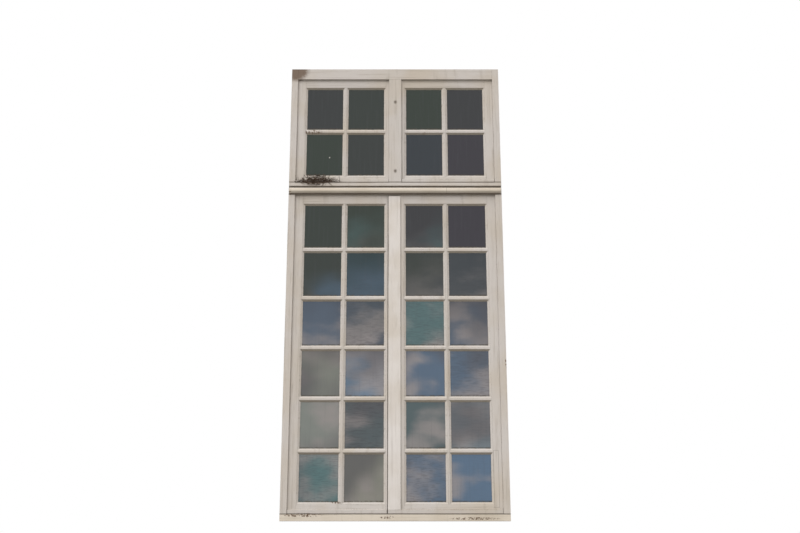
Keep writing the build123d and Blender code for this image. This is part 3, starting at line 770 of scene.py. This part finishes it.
dice = random.Random(PANE_SEED)
for node in [name for name in slots if name.endswith("_panes")]:
    panes = loose_copy(node)
    number = panes.faces.layers.float.new("pane")
    tint = panes.faces.layers.float.new("pane_tint")
    low_corner = panes.faces.layers.float_vector.new("pane_low")
    high_corner = panes.faces.layers.float_vector.new("pane_high")
    solids = islands(panes)
    for verts in solids:
        values = dice.random(), dice.random(), *box_of(verts)
        for face in {face for vert in verts for face in vert.link_faces}:
            face[number], face[tint], face[low_corner], face[high_corner] = values
    dressed(node, "_glass", panes, glass)
    print(node, len(solids))

# %% [markdown]
# ## A heap of twigs on the transom
# Birds have dropped twigs on the narrow ledge in front of the upper left leaf. One twig is a thin
# five-sided cone, cut across twice so that it can bend. Its copies are stretched, bent, turned and
# laid on the heap. Letting them fall by physics would take long and could end inside the timber.
# Here no point may go deeper than the timber behind it, which a function of height says.

# %% Bark
TWIG_BROWN = (0.034, 0.021, 0.014, 1.0)
TWIG_PALE = (0.190, 0.130, 0.085, 1.0)
BARK_SHADES = (130.0, 3.0)

bark = Finish("dry_twigs")
shade = bark.noise(bark.here(), *BARK_SHADES)
bark.set(Base_Color=bark.mix(bark.step(shade, 0.45, 0.75), TWIG_BROWN, TWIG_PALE), Roughness=0.85)
bark.bump(shade * 0.3, 0.4)
print("bark", bark.material.name)

# %% One twig
def cut_across(mesh, place, normal):
    """Cut a whole bmesh along a plane, and keep both sides."""
    every = list(mesh.verts) + list(mesh.edges) + list(mesh.faces)
    bmesh.ops.bisect_plane(mesh, geom=every, plane_co=place, plane_no=normal)


def small_mesh(name, shape):
    """A mesh that is copied many times."""
    mesh = bpy.data.meshes.new(name)
    shape.to_mesh(mesh)
    shape.free()
    return mesh


def copied(target, mesh):
    """The vertices of one more copy of a small mesh."""
    count = len(target.verts)
    target.from_mesh(mesh)
    target.verts.ensure_lookup_table()
    return target.verts[count:]


stick = bmesh.new()
bmesh.ops.create_cone(stick, cap_ends=True, segments=5, radius1=1.0, radius2=0.6, depth=1.0)
for height in (-1 / 6, 1 / 6):
    cut_across(stick, (0, 0, height), (0, 0, 1))
straight_twig = small_mesh("straight_twig", stick)
print("faces of a twig", len(straight_twig.polygons))

# %% Where twigs may lie
# The ledge's height, and how far out the timbers stand below it and above it
LEDGE = 2.7845
TRANSOM_FACE = -0.0355
RAIL_FOOT_FACE = -0.0262
RAIL_FOOT_TOP = 2.826
RAIL_FACE = -0.0185
# The heap along X, its height, and the Y of its middle and how far it bulges out
HEAP_MIDDLE = -0.680
HEAP_REACH = 0.138
HEAP_ENDS = (-0.866, -0.455)
STEEPNESS = 4
HEAP_HEIGHT = 0.054
HEAP_FACE = -0.031
HEAP_BULGE = 0.012


def nearest_depth(height):
    """How far back a twig may reach at some height before it meets timber."""
    if height < LEDGE:
        return TRANSOM_FACE
    return RAIL_FOOT_FACE if height < RAIL_FOOT_TOP else RAIL_FACE


print("twigs keep", round(RAIL_FACE - nearest_depth(LEDGE), 4), "m further out at the ledge")

# %% The heap
TWIGS = 160
TWIG_SEED = 8
TWIG_RADIUS = (0.0012, 0.0028)
TWIG_LENGTH = (0.022, 0.080)
BEND = 6.0
# Spreads of the angles in radians
LEANING = 0.85
TURNING = 0.16
# Some twigs of the heap's high part hang over the ledge, and the others lie a little above it
HIGH_PART = 0.3
HANGING = 0.18
HANGING_DEPTH = (0.004, 0.018)
LIFT = 0.002


def twig(heap):
    """One bent twig somewhere on the heap."""
    verts = copied(heap, straight_twig)
    radius = dice.uniform(*TWIG_RADIUS)
    bmesh.ops.scale(heap, vec=(radius, radius, dice.uniform(*TWIG_LENGTH)), verts=verts)
    bend = dice.uniform(-BEND, BEND)
    for vert in verts:
        vert.co.x += bend * vert.co.z * vert.co.z
    lean = Matrix.Rotation(math.pi / 2 + dice.gauss(0.0, LEANING), 3, "Y")
    turn = Matrix.Rotation(dice.gauss(0.0, TURNING), 3, "Z")
    bmesh.ops.rotate(heap, cent=(0, 0, 0), matrix=turn @ lean, verts=verts)
    x = dice.triangular(*HEAP_ENDS, HEAP_MIDDLE)
    share = max(0.0, 1.0 - ((x - HEAP_MIDDLE) / HEAP_REACH) ** STEEPNESS)
    hanging = share > HIGH_PART and dice.random() < HANGING
    if hanging:
        z = LEDGE - dice.uniform(*HANGING_DEPTH)
    else:
        z = LEDGE + LIFT + HEAP_HEIGHT * share * dice.random()
    y = HEAP_FACE - HEAP_BULGE * share * dice.random()
    bmesh.ops.translate(heap, vec=(x, y, z), verts=verts)
    low = min(vert.co.z for vert in verts)
    if not hanging and low < LEDGE:
        bmesh.ops.translate(heap, vec=(0.0, 0.0, LEDGE - low), verts=verts)
    beyond = min(min(vert.co.x for vert in verts) - HEAP_ENDS[0], 0.0)
    bmesh.ops.translate(heap, vec=(-beyond, 0.0, 0.0), verts=verts)
    over = max(vert.co.y - nearest_depth(vert.co.z) for vert in verts)
    if over > 0.0:
        bmesh.ops.translate(heap, vec=(0.0, -over, 0.0), verts=verts)


dice = random.Random(TWIG_SEED)
heap = bmesh.new()
for _ in range(TWIGS):
    twig(heap)
pile = finished("twig_heap", heap, "frame", bark.material)
print("twigs", TWIGS, "faces", len(pile.data.polygons))

# %% [markdown]
# ## Screws
# Hinge plates, rod guides and keepers are held by countersunk wood screws. A dark line in the paint
# could stand for a slot, but a close view shows its depth. So one head is made with care: a flat
# cone whose top face is cut by two planes, and the strip between them is sunk as the slot. It is
# copied to every place, turned by a random angle, as no one lines up slots inside a window.

# %% One screw head
# In radii of the head
HEAD_DEPTH = 0.2
HEAD_TOP = 0.86
HEAD_SIDES = 14
SLOT_HALF = 0.12
SLOT_DEPTH = 0.14
SLOT_WALL = 0.01
FACING_UP = 0.9

blank = bmesh.new()
bmesh.ops.create_cone(blank, cap_ends=True, segments=HEAD_SIDES, radius1=1.0, radius2=HEAD_TOP,
                      depth=HEAD_DEPTH)
for side in (-1, 1):
    cut_across(blank, (0, side * SLOT_HALF, 0), (0, 1, 0))
strip = [face for face in blank.faces
         if face.normal.z > FACING_UP and abs(face.calc_center_median().y) < SLOT_HALF]
bmesh.ops.inset_individual(blank, faces=strip, thickness=SLOT_WALL, depth=-SLOT_DEPTH)
screw_head = small_mesh("screw_head", blank)
print("faces of a screw head", len(screw_head.polygons))

# %% Screws in their places
HEAD_RISE = 0.0007
HINGE_SCREW = 0.0042
FOOT_SCREW = 0.0028
PIN_X = 0.8585
PLATE_HEIGHT = 0.050
PLATE_FACE = 0.0365 + HEAD_RISE / 3
FOOT_FACE = 0.0370 + HEAD_RISE / 3
FOOT_REACH = 0.013
# Shares of a plate's height, and of its width from the outer edge towards the pin
STAGGERED = ((0.16, 0.25), (0.50, 0.52), (0.84, 0.25))


def plate_places(node):
    """Three staggered places on each hinge plate of a node. A frame half also holds the pin."""
    places = []
    for low, high in parts_of(node):
        pin = math.copysign(PIN_X, low.x)
        outer = high.x if abs(high.x - pin) > abs(low.x - pin) else low.x
        top = low.z + PLATE_HEIGHT if node.startswith("frame") else high.z
        places += [(outer + (pin - outer) * across, PLATE_FACE, low.z + (top - low.z) * up)
                   for up, across in STAGGERED]
    return places


def foot_places(node):
    """A screw in each wing of the rod guides and keepers."""
    return [((low.x + high.x) / 2 + side * FOOT_REACH, FOOT_FACE, (low.z + high.z) / 2)
            for low, high in parts_of(node) for side in (-1, 1)]


def place_heads(name, places, radius, node):
    """Copies of the head on faces that look into the room, on the body and slot of a node."""
    heads = bmesh.new()
    for place in places:
        verts = copied(heads, screw_head)
        bmesh.ops.scale(heads, vec=(radius, radius, HEAD_RISE / HEAD_DEPTH), verts=verts)
        slanted = Matrix.Rotation(dice.uniform(0, math.pi), 3, "Z")
        bmesh.ops.rotate(heads, cent=(0, 0, 0), verts=verts,
                         matrix=Matrix.Rotation(-math.pi / 2, 3, "X") @ slanted)
        bmesh.ops.translate(heads, vec=place, verts=verts)
    finished(name, heads, bodies[node], metals[slots[node]])
    print(name, len(places))


for node in [name for name in slots if name.endswith("hinge_halves")]:
    place_heads(node.replace("halves", "screws"), plate_places(node), HINGE_SCREW, node)
for node in ("bolt_rod_guides", "bolt_keepers"):
    place_heads(node + "_screws", foot_places(node), FOOT_SCREW, node)

# %% [markdown]
# ## Floor and light
# A plain pale floor and soft light from above and in front, as on a dull day. The camera looks up
# from just under the sill, so the floor is seen through from below. The background is white for
# the camera and in reflections. The light that it throws on the window is faint and warm, so
# shaded faces turn brownish, while two wide lamps for the open sky keep the lit ones white.

# %% Floor
FLOOR_GREY = (0.50, 0.495, 0.49, 1.0)
FLOOR_PALE = (0.60, 0.59, 0.58, 1.0)
FLOOR_GRAINS = (14.0, 5.0)
FLOOR_HALF = 30.0

ground = Finish("pale_floor")
grains = ground.noise(ground.here(), *FLOOR_GRAINS)
ground.set(Base_Color=ground.mix(grains * 0.2, FLOOR_GREY, FLOOR_PALE), Roughness=0.8)
from_below = ground.node("ShaderNodeNewGeometry", output="Backfacing")
solid = Wire(ground, ground.shader.outputs[0])
clear = ground.node("ShaderNodeBsdfTransparent")
seen = ground.node("ShaderNodeMixShader", inputs={0: from_below, 1: solid, 2: clear})
ground.feed(ground.tree.nodes["Material Output"].inputs["Surface"], seen)

slab = bmesh.new()
bmesh.ops.create_grid(slab, x_segments=2, y_segments=2, size=FLOOR_HALF)
floor = bpy.data.objects.new("floor", small_mesh("floor", slab))
floor.data.materials.append(ground.material)
scene.collection.objects.link(floor)
print("floor", floor.dimensions[:2])

# %% World
AMBIENT = 0.20
WARM_GLOW = (1.0, 0.86, 0.66, 1.0)
WHITE = (1.0, 1.0, 1.0, 1.0)
SHOWN_RAYS = ("Is Camera Ray", "Is Glossy Ray", "Is Transmission Ray")

world = bpy.data.worlds.new("dull_day")
world.use_nodes = True
scene.world = world
sky = Patterns(world.node_tree)
rays = sky.node("ShaderNodeLightPath").socket.node.outputs
shown = sum(Wire(sky, rays[name]) for name in SHOWN_RAYS)
background = world.node_tree.nodes["Background"]
sky.feed(background.inputs["Color"], sky.mix(shown, WARM_GLOW, WHITE))
sky.feed(background.inputs["Strength"], sky.node(
    "ShaderNodeMapRange", inputs={"Value": shown, "To Min": AMBIENT, "To Max": 1.0}))
print("white for", SHOWN_RAYS)

# %% Lamps
DAYLIGHT = (1.0, 0.995, 0.99)
# Where each light travels to: into the room and down, and out of the room and down
TO_THE_ROOM = (0.26, 0.60, -0.82)
TO_THE_FRONT = (-0.35, -0.70, -0.62)


def sky_light(name, direction, spread, strength, colour=(1.0, 1.0, 1.0)):
    """Very soft light from a wide part of the sky, hidden from mirror-like surfaces."""
    data = bpy.data.lights.new(name, "SUN")
    data.angle = math.radians(spread)
    data.energy = strength
    data.color = colour
    made = bpy.data.objects.new(name, data)
    made.rotation_euler = Vector(direction).to_track_quat("-Z", "Y").to_euler()
    made.visible_glossy = False
    scene.collection.objects.link(made)


sky_light("front_sky", TO_THE_ROOM, spread=56.0, strength=3.10, colour=DAYLIGHT)
sky_light("room_light", TO_THE_FRONT, spread=90.0, strength=1.9)
print("lamps", len(bpy.data.lights))
